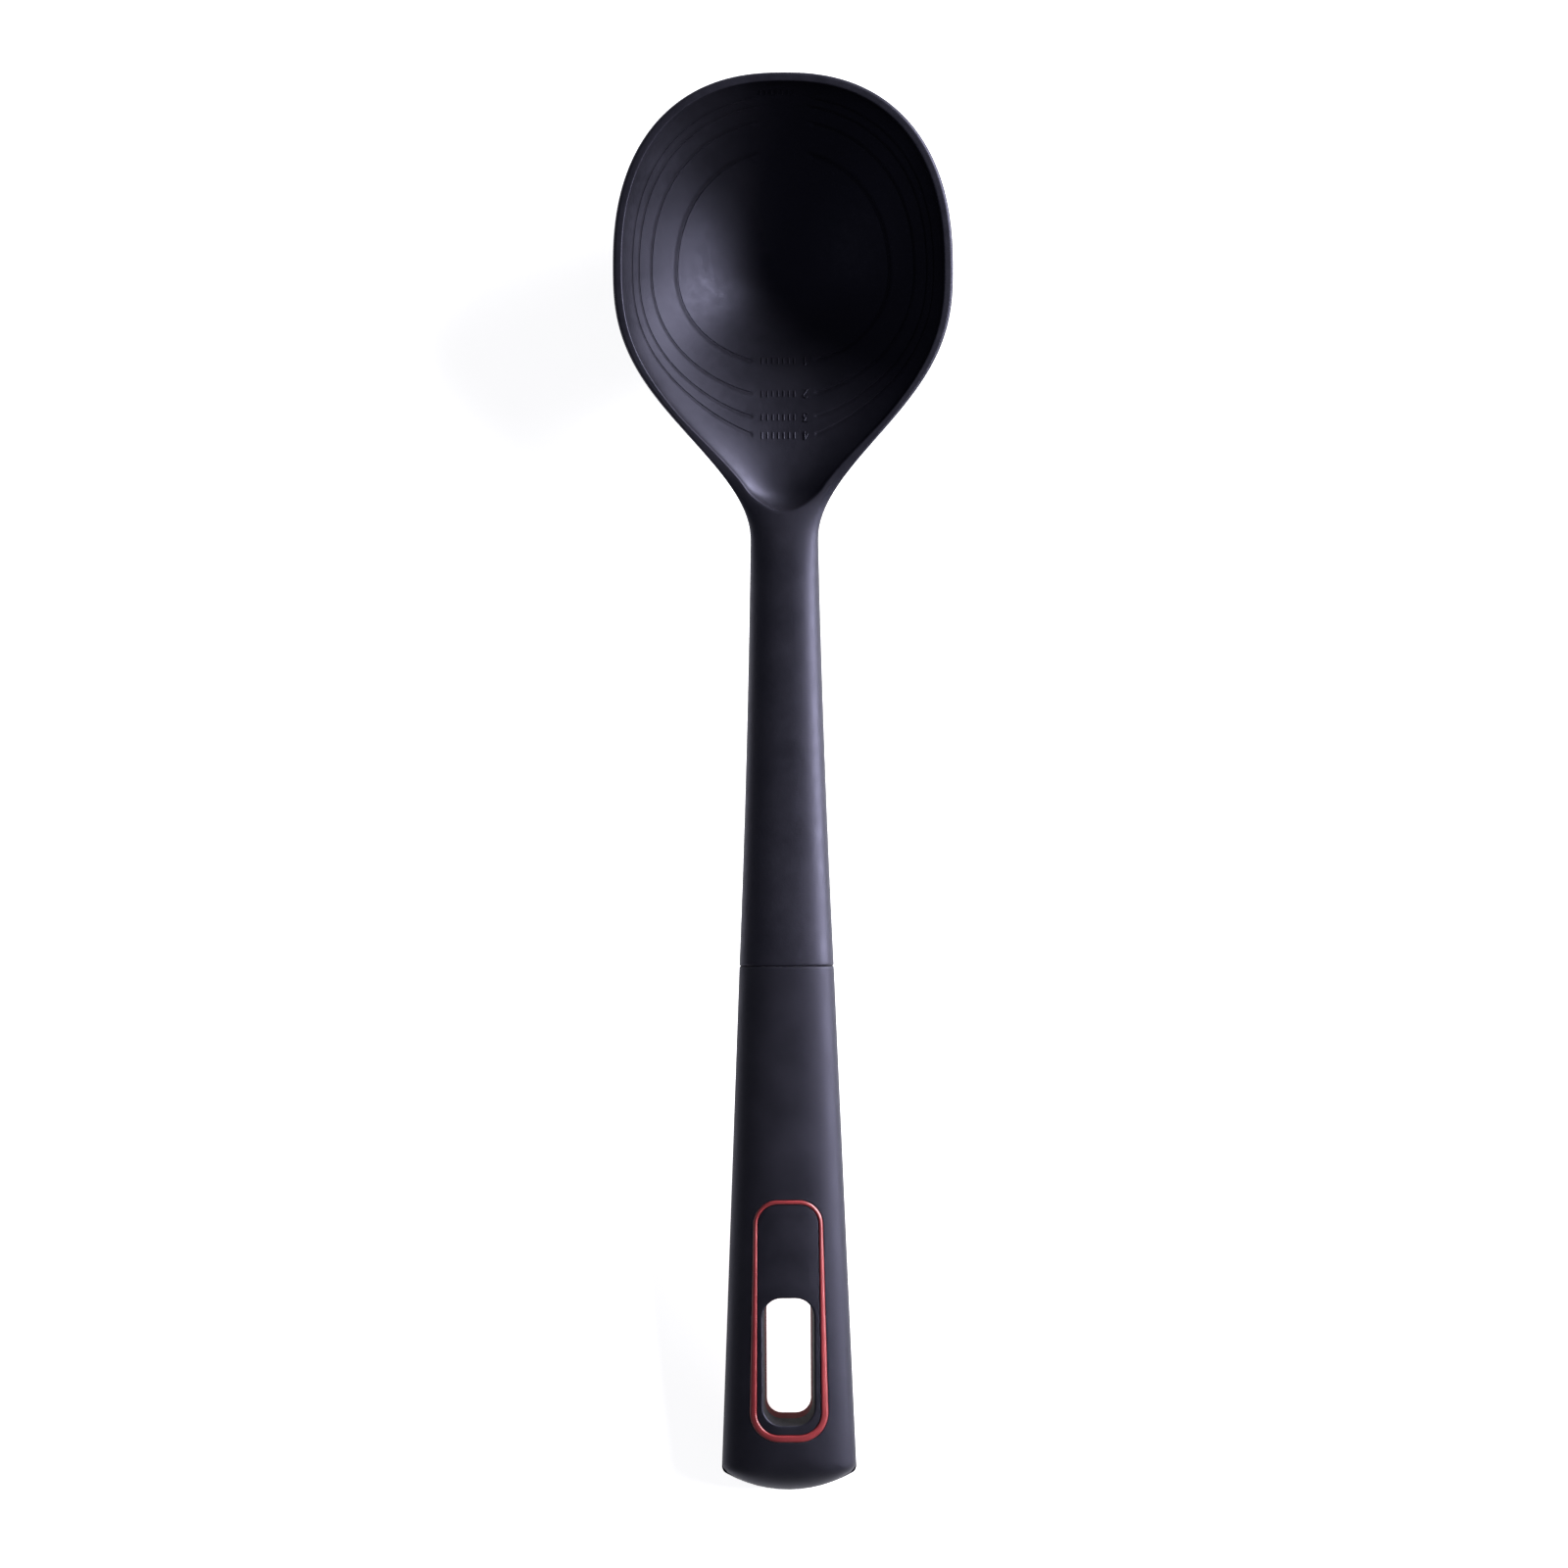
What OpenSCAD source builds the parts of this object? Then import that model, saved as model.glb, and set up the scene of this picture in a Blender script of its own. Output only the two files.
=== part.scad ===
// Long measuring spoon: a nylon bowl, neck and shaft in one moulding, and a soft grip
// with a red insert and a black plate round its hang slot.
// It lies as it rests on a table: bowl end towards +Y, hollow up, underside at z = 0.
// "Station" means the distance from the bowl tip along the spoon.

/* [View] */
// Sub-part to draw

/* [Overall] */
// Length from the bowl tip to the handle end
total_length = 340; // [300:1:380]
// Height of the bowl rim over the table
rim_height = 31.4; // [24:0.2:36]

/* [Bowl] */
// Full width of the bowl
bowl_width = 81; // [60:0.5:100]
// Station of the widest and deepest place
bowl_middle = 46.5; // [40:0.5:55]
// Fullness of the tip half of the outline, where 2 is an ellipse
tip_fullness = 2.35; // [2:0.05:3]
// Depth of the hollow below the rim
bowl_depth = 29; // [20:0.5:30]
// Width of the flat rim
rim_band = 2.2; // [1.5:0.1:4]
// Width of the flat rim where it runs into the neck
neck_band = 3.5; // [2:0.1:5]
// Station where the hollow ends in the neck
hollow_end = 104.4; // [98:0.2:110]
// Depth of the hollow just before its end
hollow_end_depth = 4; // [1:0.1:4.5]
// Height of the upright edge all round the outline
edge_height = 1.2; // [0.8:0.1:3]
// Radius of the flat resting spot under the bowl
pad_radius = 6; // [3:0.5:6]

/* [Shaft] */
// Station where the neck ends and the shaft begins
neck_end = 111; // [105:0.5:120]
// Shaft width just after the neck
neck_width = 16.2; // [12:0.1:20]
// Station of the seam between shaft and grip
seam = 213; // [190:1:240]
// Width at the seam
seam_width = 22.7; // [18:0.1:28]
// Rise of the top surface over its edge, after the neck
neck_crown = 4.2; // [3:0.1:6]
// Fall of the underside below its edge, after the neck
neck_belly = 3.8; // [3:0.1:6]
// Station where the hidden tang ends inside the grip
tang_end = 250; // [230:1:255]
// Size of the tang's section as a share of the shaft's
tang_scale = 0.55; // [0.4:0.05:0.7]

/* [Grip] */
// Width of the grip at the handle end
end_width = 33; // [24:0.2:40]
// Radius of the rounded handle end
end_radius = 30.5; // [20:0.5:60]
// Radius of the two corners of the handle end
end_corner = 2; // [1:0.5:6]
// Length over which the handle end rounds over
end_rounding = 10; // [4:0.5:16]
// Rise of the top surface over its edge at the handle end
end_crown = 5.8; // [4:0.1:8]
// Fall of the underside below its edge at the handle end
end_belly = 5.4; // [4:0.1:8]

/* [Insert and slot] */
// Station of the front of the red outline
insert_front = 269.2; // [262:0.2:275]
// Station of the back of the red outline
insert_back = 328; // [322:0.2:332]
// Width of the red outline at its front
insert_front_width = 16.9; // [14:0.1:20]
// Width of the red outline at its back
insert_back_width = 19.1; // [14:0.1:22]
// Thickness of the red outline at its front
insert_front_band = 1.1; // [0.8:0.1:2]
// Thickness of the red outline at its back
insert_back_band = 1.8; // [0.8:0.1:3]
// Corner radius of the red insert nearest the bowl
insert_front_corner = 5.9; // [3:0.1:8]
// Corner radius of the red insert at the handle end
insert_back_corner = 7.2; // [3:0.1:8]
// Station of the front of the hang slot
slot_front = 293; // [285:0.5:300]
// Station of the back of the hang slot
slot_back = 323.9; // [310:0.5:325]
// Width of the hang slot at the top
slot_width = 12.4; // [8:0.1:14]
// Taper of the slot wall on each side, from top to back
slot_draft = 0.9; // [0:0.1:1.5]
// Drop of the black plate below the red outline
plate_drop = 0.2; // [0:0.05:0.5]

/* [Hidden] */

nylon_black = [0.12, 0.12, 0.14];
grip_black = [0.07, 0.07, 0.08];
plate_black = [0.1, 0.1, 0.11];
accent_red = [0.65, 0.15, 0.16];

bowl_half = bowl_width / 2;
neck_half = neck_width / 2;
seam_half = seam_width / 2;
end_half = end_width / 2;

// Shape of the bowl and neck
handle_roundness = 2.2;
wall_steepness = 0.35;
neck_flare = 1.32;
hollow_sharpness = 0.93;
hollow_reach = 51;
belly_reach = 55.5;
pad_allowance = 2;
band_start = 80;
hollow_shoulder = hollow_end - 5.4;
crown_start = 86;
crown_full = 124;
bowl_belly = rim_height + pad_allowance - edge_height;

// Line of the handle: it leaves the rim level and bends down to the table
handle_bend = 1.3;
round_start = total_length - end_rounding;
end_thickness = end_crown + edge_height + end_belly;
handle_drop = (rim_height - end_thickness)
    / pow((round_start - hollow_end) / (total_length - hollow_end), handle_bend);

// Handle end outline
end_centre = total_length - end_radius;
end_squareness = 8;
corner_x = end_half - end_corner - 0.25;
corner_station = end_centre + sqrt(pow(end_radius - end_corner, 2) - pow(corner_x, 2));
corner_angle = atan2(corner_station - end_centre, corner_x);

// Insert and plate
floor_below_edge = 2.4;
slot_rounding = 0.5;
slot_corner = 4.6;
slot_lean = 1.3;

// Mesh fineness
across = 12;
around_bowl = 84;
corner_steps = 4;
side_steps = 10;
edge_steps = across - 2 * corner_steps;
hollow_shares = [0.08, 0.2, 0.34, 0.48, 0.61, 0.73, 0.83, 0.91, 0.96, 0.985, 0.996];
belly_shares = [0, 0.02, 0.06, 0.13, 0.23, 0.36, 0.5, 0.64, 0.77, 0.88, 0.95, 1];
grip_shares = [0, 0.25, 0.5, 0.7, 0.84, 0.93, 0.98, 1];
plate_shares = [0, 0.35, 0.7, 1];
shaft_stations = [116, 120, 126, 134, 144, 156, 170, 184, 198, seam];
tang_stations = [seam, (seam + tang_end) / 2, tang_end];
grip_cut = 262;
grip_stations = [256, 249, 240, 231, 222, seam];

// ---- Numbers -------------------------------------------------------------------------

function mix(a, b, share) = a + (b - a) * share;
function clamp(v) = max(0, min(1, v));
function smooth(v) = clamp(v) * clamp(v) * (3 - 2 * clamp(v));
function bell(v, sharpness) = (1 + cos(180 * pow(clamp(v), sharpness))) / 2;
// Rise of the bowl's wall from its middle (0) to its rim (1): gentle, then steep.
function wall_rise(v) =
    mix(pow(clamp(v), 2), 1 - sqrt(1 - pow(clamp(v), 2)), wall_steepness);
function oval_quarter(along, half, reach, fullness) =
    half * pow(max(0, 1 - pow(along / reach, fullness)), 1 / fullness);

// ---- Outline in plan -----------------------------------------------------------------

function shaft_half(s) =
    let (share = clamp((s - neck_end) / (seam - neck_end)))
    mix(neck_half, seam_half, 0.57 * share + 0.43 * share * share);

function grip_half(s) = mix(seam_half, end_half, (s - seam) / (total_length - seam));

function outer_half(s) =
    s < bowl_middle ? oval_quarter(bowl_middle - s, bowl_half, bowl_middle, tip_fullness)
    : s < seam ? shaft_half(s) + (bowl_half - neck_half)
        * bell((s - bowl_middle) / (neck_end - bowl_middle), neck_flare)
    : grip_half(s);

function band(s) =
    mix(rim_band, neck_band, smooth((s - band_start) / (hollow_shoulder - band_start)));

// Half width of the hollow, before its neck end is rounded off.
function hollow_span(s) =
    s < bowl_middle
        ? oval_quarter(bowl_middle - s, bowl_half - rim_band, bowl_middle - rim_band, tip_fullness)
    : outer_half(s) - band(s);

function neck_share(s) = clamp((s - hollow_shoulder) / (hollow_end - hollow_shoulder));

// ---- Heights -------------------------------------------------------------------------

function handle_share(s) = clamp((s - neck_end) / (total_length - neck_end));

function top_line(s) = rim_height - handle_drop
    * pow(max(0, (s - hollow_end) / (total_length - hollow_end)), handle_bend);

function crown(s) = mix(neck_crown, end_crown, handle_share(s))
    * smooth((s - crown_start) / (crown_full - crown_start));

function edge_line(s) = top_line(s) - crown(s);

function belly(s) =
    s < bowl_middle
        ? bowl_belly * (1 - wall_rise((bowl_middle - s) / bowl_middle))
    : mix(mix(neck_belly, end_belly, handle_share(s)), bowl_belly,
        bell((s - bowl_middle) / belly_reach, hollow_sharpness));

// How far out a place lies, from 0 on the middle line to 1 on the outline.
function across_share(x, s) = abs(x) / max(0.01, outer_half(s));
function end_outline(x) = end_centre + sqrt(max(1, pow(end_radius, 2) - pow(x, 2)));
function end_share(x, s) =
    s <= round_start ? 0 : clamp((s - round_start) / (end_outline(x) - round_start));
function outward(x, s) =
    clamp(pow(
        pow(across_share(x, s), end_squareness) + pow(end_share(x, s), end_squareness),
        1 / end_squareness
    ));

function rounded(x, s) = sqrt(max(0, 1 - pow(outward(x, s), handle_roundness)));

function top(x, s) = edge_line(s) + crown(s) * rounded(x, s);

function bottom(x, s) =
    let (
        bowl = 1 - wall_rise(across_share(x, s)),
        fullness = mix(bowl, rounded(x, s), smooth((s - 85) / 30))
    )
    max(0, edge_line(s) - edge_height - belly(s) * fullness);

function hollow_depth(s) =
    s < bowl_middle
        ? bowl_depth * (1 - wall_rise((bowl_middle - s) / (bowl_middle - rim_band)))
    : mix(hollow_end_depth, bowl_depth,
        bell((s - bowl_middle) / hollow_reach, hollow_sharpness));

function hollow_floor(x, s) =
    let (share = norm([x / max(0.01, hollow_span(s)), neck_share(s)]))
    top(x, s) - hollow_depth(s) * (1 - wall_rise(share));

// ---- Building blocks -----------------------------------------------------------------

// A place is [x, station]; a point is [x, y, z].
function point(place, z) = [place[0], total_length / 2 - place[1], z];
function between(a, b, share) = [for (i = [0:len(a) - 1]) a[i] + (b[i] - a[i]) * share];
function on_top(places) = [for (p = places) point(p, top(p[0], p[1]))];
function on_bottom(places) = [for (p = places) point(p, bottom(p[0], p[1]))];
function reversed(list) = [for (i = [len(list) - 1:-1:0]) list[i]];
function first(list, count) = [for (i = [0:count - 1]) list[i]];
function flat(lists) = [for (list = lists) each list];

// A ring of the handle's section at one station, scaled about its own centre.
// direction is 1 from -X to +X along the top, and -1 the other way.
function section(s, scale, direction) =
    let (
        half = outer_half(s),
        middle = (top(0, s) + bottom(0, s)) / 2,
        xs = [for (k = [0:across]) -direction * half * cos(180 * k / across)]
    )
    concat(
        [for (x = xs) point([x * scale, s], mix(middle, top(x, s), scale))],
        [for (x = reversed(xs)) point([x * scale, s], mix(middle, bottom(x, s), scale))]
    );

// Triangles between two rings of point numbers.
function strip(a, b, closed) = [
    for (i = [0:len(a) - (closed ? 1 : 2)])
        let (j = (i + 1) % len(a))
        each [[a[i], a[j], b[j]], [a[i], b[j], b[i]]]
];
function chain(rings, closed) =
    [for (i = [0:len(rings) - 2]) each strip(rings[i], rings[i + 1], closed)];
function numbers(start, count) = [for (i = [0:count - 1]) start + i];
function ring_numbers(start, rings, count) =
    [for (r = [0:rings - 1]) numbers(start + r * count, count)];

// Wall of the outline between the top ring and the bottom ring, left open at the cut.
function outline_wall(top_ring, bottom_ring) =
    let (count = len(top_ring), steps = [for (i = [across:count]) i % count])
    strip([for (i = steps) top_ring[i]], [for (i = steps) bottom_ring[i]], false);

// Section ring at the cut, made of the points that the two rings have there.
function cut_ring(top_ring, bottom_ring) =
    concat(first(top_ring, across + 1), reversed(first(bottom_ring, across + 1)));

// ---- Bowl and shaft ------------------------------------------------------------------

bowl_steps = [for (j = [1:around_bowl - 1]) j];
function bowl_share(j) = (1 + cos(360 * j / around_bowl)) / 2;
function bowl_side(j) = j < around_bowl / 2 ? 1 : -1;

// Both outlines start at the neck on the -X side, cross to +X and go round the tip.
bowl_outline = concat(
    [for (k = [0:across]) [-outer_half(neck_end) * cos(180 * k / across), neck_end]],
    [
        for (j = bowl_steps)
            let (
                share = bowl_share(j),
                s = hollow_shoulder * share + (neck_end - hollow_shoulder) * pow(share, 4)
            )
            [bowl_side(j) * outer_half(s), s]
    ]
);

hollow_outline = concat(
    [
        for (k = [0:across])
            let (s = mix(hollow_shoulder, hollow_end, sin(180 * k / across)))
            [-hollow_span(s) * cos(180 * k / across), s]
    ],
    [
        for (j = bowl_steps)
            let (s = mix(rim_band, hollow_shoulder, bowl_share(j)))
            [bowl_side(j) * hollow_span(s), s]
    ]
);

bowl_centre = [0, bowl_middle];
pad_centre = [0, bowl_middle + 2];
pad_outline = [
    for (p = bowl_outline)
        let (way = p - bowl_centre)
        bowl_centre + way / norm(way) * pad_radius
];

module bowl_and_shaft() {
    count = len(bowl_outline);
    centres = [for (p = hollow_outline) bowl_centre];
    hollow_rings = [
        for (share = hollow_shares)
            [
                for (p = between(centres, hollow_outline, share))
                    point(p, hollow_floor(p[0], p[1]))
            ]
    ];
    rim_rings = [on_top(hollow_outline), on_top(bowl_outline)];
    belly_rings = [for (share = belly_shares) on_bottom(between(bowl_outline, pad_outline, share))];
    shaft_rings = [for (s = shaft_stations) section(s, 1, 1)];
    tang_rings = [for (s = tang_stations) section(s, tang_scale, 1)];

    top_count = len(hollow_rings) + len(rim_rings);
    top_numbers = ring_numbers(1, top_count, count);
    belly_numbers = ring_numbers(1 + top_count * count, len(belly_rings), count);
    loft_start = 1 + (top_count + len(belly_rings)) * count;
    loft_count = len(shaft_rings) + len(tang_rings);
    loft_numbers = ring_numbers(loft_start, loft_count, 2 * (across + 1));
    pad_number = loft_start + loft_count * 2 * (across + 1);
    pad_edge = belly_numbers[len(belly_numbers) - 1];
    rim_edge = top_numbers[top_count - 1];
    cut = cut_ring(rim_edge, belly_numbers[0]);

    color(nylon_black)
        polyhedron(
            points = concat(
                [point(bowl_centre, hollow_floor(0, bowl_middle))],
                flat(hollow_rings), flat(rim_rings), flat(belly_rings),
                flat(shaft_rings), flat(tang_rings), [point(pad_centre, 0)]
            ),
            faces = concat(
                [for (i = [0:count - 1]) [0, top_numbers[0][(i + 1) % count], top_numbers[0][i]]],
                [for (i = [0:count - 1]) [pad_number, pad_edge[i], pad_edge[(i + 1) % count]]],
                chain(top_numbers, true),
                outline_wall(rim_edge, belly_numbers[0]),
                chain(belly_numbers, true),
                chain(concat([cut], loft_numbers), true),
                [loft_numbers[loft_count - 1]]
            ),
            convexity = 6
        );
}

// ---- Outlines round the hang slot ----------------------------------------------------

// Each starts on the +X side, crosses the front to -X and goes round the back.
function arc_places(x, s, r, from, to, steps) =
    [for (i = [0:steps - 1]) let (a = mix(from, to, i / steps)) [x + r * cos(a), s - r * sin(a)]];
function line_places(a, b, steps) = [for (i = [0:steps - 1]) a + (b - a) * i / steps];

function slot_shape(front, back, front_half, back_half, front_corner, back_corner) =
    let (
        fx = front_half - front_corner,
        fs = front + front_corner,
        bx = back_half - back_corner,
        bs = back - back_corner
    )
    concat(
        arc_places(fx, fs, front_corner, 0, 90, corner_steps),
        line_places([fx, front], [-fx, front], edge_steps),
        arc_places(-fx, fs, front_corner, 90, 180, corner_steps),
        line_places([-front_half, fs], [-back_half, bs], side_steps),
        arc_places(-bx, bs, back_corner, 180, 270, corner_steps),
        line_places([-bx, back], [bx, back], edge_steps),
        arc_places(bx, bs, back_corner, 270, 360, corner_steps),
        line_places([back_half, bs], [front_half, fs], side_steps)
    );

function handle_side(from, to, side) =
    [for (i = [0:side_steps - 1]) let (s = mix(from, to, i / side_steps)) [side * outer_half(s), s]];

grip_outline = concat(
    [for (k = [0:across - 1]) [outer_half(grip_cut) * cos(180 * k / across), grip_cut]],
    handle_side(grip_cut, corner_station, -1),
    arc_places(-corner_x, corner_station, end_corner, 180, 180 + corner_angle, corner_steps),
    arc_places(0, end_centre, end_radius, 180 + corner_angle, 360 - corner_angle, edge_steps),
    arc_places(corner_x, corner_station, end_corner, 360 - corner_angle, 360, corner_steps),
    handle_side(corner_station, grip_cut, 1)
);

insert_outline = slot_shape(insert_front, insert_back,
    insert_front_width / 2, insert_back_width / 2, insert_front_corner, insert_back_corner);

plate_outline = slot_shape(insert_front + insert_front_band, insert_back - insert_back_band,
    insert_front_width / 2 - insert_front_band, insert_back_width / 2 - insert_back_band,
    insert_front_corner - insert_front_band, insert_back_corner - insert_back_band);

function slot_ring(shrink, lean) =
    slot_shape(slot_front + shrink - lean, slot_back - shrink - lean,
        slot_width / 2 - shrink, slot_width / 2 - shrink,
        slot_corner - shrink, slot_corner - shrink);

rim_outline = slot_ring(-slot_rounding, 0);
lip_outline = slot_ring(0, 0);
joint_outline = slot_ring(slot_draft / 2, slot_lean / 2);
back_outline = slot_ring(slot_draft, slot_lean);

function on_cup_floor(places) =
    [for (p = places) point(p, edge_line(p[1]) - floor_below_edge)];

// A ring-shaped solid from rings of points that go out over the top and back underneath.
module hoop(rings) {
    count = len(rings[0]);
    ring_list = ring_numbers(0, len(rings), count);
    polyhedron(
        points = flat(rings),
        faces = chain(concat(ring_list, [ring_list[0]]), true),
        convexity = 6
    );
}

// ---- Sub-parts of the handle ---------------------------------------------------------

module grip() {
    count = len(grip_outline);
    places = [for (share = grip_shares) between(insert_outline, grip_outline, share)];
    top_rings = [for (ring = places) on_top(ring)];
    bottom_rings = [for (ring = reversed(places)) on_bottom(ring)];
    sleeve_rings = [for (s = grip_stations) section(s, 1, -1)];
    socket_rings = [for (s = tang_stations) section(s, tang_scale, -1)];

    top_numbers = ring_numbers(0, len(top_rings), count);
    bottom_numbers = ring_numbers(len(top_rings) * count, len(bottom_rings), count);
    loft_start = (len(top_rings) + len(bottom_rings)) * count;
    loft_count = len(sleeve_rings) + len(socket_rings);
    loft_numbers = ring_numbers(loft_start, loft_count, 2 * (across + 1));
    grip_edge = top_numbers[len(top_numbers) - 1];
    cut = cut_ring(grip_edge, bottom_numbers[0]);

    color(grip_black)
        polyhedron(
            points = concat(
                flat(top_rings), flat(bottom_rings), flat(sleeve_rings), flat(socket_rings)
            ),
            faces = concat(
                chain(top_numbers, true),
                outline_wall(grip_edge, bottom_numbers[0]),
                chain(bottom_numbers, true),
                strip(bottom_numbers[len(bottom_numbers) - 1], top_numbers[0], true),
                chain(concat([cut], loft_numbers), true),
                [loft_numbers[loft_count - 1]]
            ),
            convexity = 8
        );
}

module accent_insert() {
    color(accent_red)
        hoop([
            on_top(plate_outline),
            on_top(insert_outline),
            on_bottom(insert_outline),
            on_bottom(back_outline),
            on_cup_floor(joint_outline),
            on_cup_floor(plate_outline)
        ]);
}

module slot_plate() {
    plate_rings = [
        for (share = plate_shares)
            [
                for (p = between(rim_outline, plate_outline, share))
                    point(p, top(p[0], p[1]) - plate_drop)
            ]
    ];
    lip_ring = [for (p = lip_outline) point(p, top(p[0], p[1]) - plate_drop - slot_rounding)];
    color(plate_black)
        hoop(concat(
            [lip_ring],
            plate_rings,
            [on_cup_floor(plate_outline), on_cup_floor(joint_outline)]
        ));
}

bowl_and_shaft();
grip();
accent_insert();
slot_plate();
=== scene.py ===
import math

import bmesh
import bpy
import numpy as np
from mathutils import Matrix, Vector


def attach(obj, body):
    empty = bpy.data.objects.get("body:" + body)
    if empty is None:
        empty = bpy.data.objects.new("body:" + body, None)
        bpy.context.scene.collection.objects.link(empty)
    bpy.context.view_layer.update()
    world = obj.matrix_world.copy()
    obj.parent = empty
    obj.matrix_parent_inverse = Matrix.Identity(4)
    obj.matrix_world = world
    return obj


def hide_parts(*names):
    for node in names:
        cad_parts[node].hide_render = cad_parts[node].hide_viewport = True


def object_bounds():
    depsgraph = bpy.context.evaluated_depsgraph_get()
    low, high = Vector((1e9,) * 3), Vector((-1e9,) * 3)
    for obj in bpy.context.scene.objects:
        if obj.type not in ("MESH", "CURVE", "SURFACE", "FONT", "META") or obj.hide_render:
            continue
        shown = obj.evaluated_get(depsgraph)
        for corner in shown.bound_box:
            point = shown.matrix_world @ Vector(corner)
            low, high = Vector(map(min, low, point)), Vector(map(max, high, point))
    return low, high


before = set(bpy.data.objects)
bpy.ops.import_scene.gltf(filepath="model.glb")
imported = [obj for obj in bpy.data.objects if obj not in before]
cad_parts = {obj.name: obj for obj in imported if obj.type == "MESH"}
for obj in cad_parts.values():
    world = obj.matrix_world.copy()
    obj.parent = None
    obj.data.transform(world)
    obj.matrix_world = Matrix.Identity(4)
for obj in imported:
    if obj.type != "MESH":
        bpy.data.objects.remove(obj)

# The shapes below are worked out in millimetres and stations. A station is the distance from
# the bowl tip along the spoon, so y = TOTAL_LENGTH / 2 - station. Meshes are made in metres.
MM = 0.001
cad_low, cad_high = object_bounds()
TOTAL_LENGTH = (cad_high.y - cad_low.y) / MM
BOWL_WIDTH = (cad_high.x - cad_low.x) / MM
RIM_HEIGHT = cad_high.z / MM

# Bowl
BOWL_MIDDLE = 46.5
TIP_FULLNESS = 2.35
HANDLE_ROUNDNESS = 2.2
WALL_STEEPNESS = 0.35
BOWL_DEPTH = 29.0
RIM_BAND = 2.2
NECK_BAND = 3.5
BAND_START = 80.0
RIM_ROUNDING = 0.35
RIM_OUTER_ROUNDING = 0.8
HOLLOW_END = 104.4
NECK_ROUNDING = 5.4
HOLLOW_SHOULDER = HOLLOW_END - NECK_ROUNDING
HOLLOW_END_DEPTH = 4.0
HOLLOW_SHARPNESS = 0.93
HOLLOW_REACH = 51.0
BELLY_REACH = 55.5
EDGE_HEIGHT = 1.2
PAD_ALLOWANCE = 2.0
BOWL_BELLY = RIM_HEIGHT + PAD_ALLOWANCE - EDGE_HEIGHT

# Neck and shaft
NECK_END = 111.0
NECK_HALF = 8.1
NECK_FLARE = 1.32
SHAFT_STRAIGHTNESS = 0.57
NECK_CROWN = 4.2
NECK_BELLY = 3.8
CROWN_START = 86.0
CROWN_FULL = 124.0
# The bowl's section turns into the shaft's from here, over this distance.
SECTION_START = 85.0
SECTION_REACH = 30.0
# The rim's outer rounding fades out over this distance from where the crown starts.
RIM_FADE = 14.0
SEAM = 213.0
SEAM_HALF = 11.35
SEAM_GROOVE = 0.35
# The groove at the seam: distance from the seam, and how far the skin has drawn in there
SEAM_PROFILE = ((0.3, 0.02), (0.12, 0.14), (0.0, SEAM_GROOVE))

# Grip
END_HALF = 16.5
END_RADIUS = 30.5
END_CORNER = 2.0
END_CORNER_INSET = 0.25
END_ROUNDING = 10.0
END_SQUARENESS = 8
END_CROWN = 5.8
END_BELLY = 5.4
ROUND_START = TOTAL_LENGTH - END_ROUNDING
HANDLE_BEND = 1.3
END_THICKNESS = END_CROWN + EDGE_HEIGHT + END_BELLY
HANDLE_REACH = TOTAL_LENGTH - HOLLOW_END
HANDLE_DROP = (RIM_HEIGHT - END_THICKNESS) / ((ROUND_START - HOLLOW_END) / HANDLE_REACH) ** HANDLE_BEND
END_CENTRE = TOTAL_LENGTH - END_RADIUS
CORNER_X = END_HALF - END_CORNER - END_CORNER_INSET
CORNER_STATION = END_CENTRE + math.sqrt((END_RADIUS - END_CORNER) ** 2 - CORNER_X ** 2)
CORNER_ANGLE = math.degrees(math.atan2(CORNER_STATION - END_CENTRE, CORNER_X))
GRIP_CUT = 262.0
GRIP_WINDOW_DEPTH = 0.3
GRIP_WINDOW_ROUNDING = 0.12

# Red insert, black plate and hang slot
INSERT_FRONT = 269.2
INSERT_BACK = 328.0
INSERT_FRONT_HALF = 8.45
INSERT_BACK_HALF = 9.55
INSERT_FRONT_BAND = 1.1
INSERT_BACK_BAND = 1.8
INSERT_FRONT_CORNER = 5.9
INSERT_BACK_CORNER = 7.2
INSERT_RISE = 0.15
INSERT_ROUNDING = 0.55
INSERT_BACK_INSET = 0.15
PLATE_DROP = 0.2
PLATE_GAP = 0.04
PLATE_ROUNDING = 0.15
FLOOR_BELOW_EDGE = 2.4
SLOT_FRONT = 293.0
SLOT_BACK = 323.9
SLOT_HALF = 6.2
SLOT_DRAFT = 0.9
SLOT_ROUNDING = 0.5
SLOT_BACK_ROUNDING = 0.3
SLOT_CORNER = 4.6
SLOT_LEAN = 1.3

# Level lines cut into the bowl: how far each lies above the deepest place
LEVEL_HEIGHTS = (10.8, 16.9, 20.7, 23.05)
LINE_HALF_HEIGHT = 0.26
LINE_DEPTH = 0.22
LINE_FADE = 0.8
LABEL_GAP = 7.2
TIP_GAP = 6.0

# Mesh fineness
ACROSS = 32
AROUND_BOWL = 288
CORNER_STEPS = 10
EDGE_STEPS = ACROSS - 2 * CORNER_STEPS
SIDE_STEPS = 60
HEIGHT_SAMPLES = 600
FLOOR_RINGS = 30
BETWEEN_LINES_RINGS = 8
WALL_RINGS = 24
BELLY_RINGS = 56
SHAFT_RINGS = 70
GRIP_RINGS = 40
GRIP_TOP_RINGS = 30
# Evenly spaced sections start this far from an open cut, and stop this far from the seam.
SECTION_GAP = 1.5
GRIP_SECTION_GAP = 1.0
SEAM_LEAD = 0.6
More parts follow.
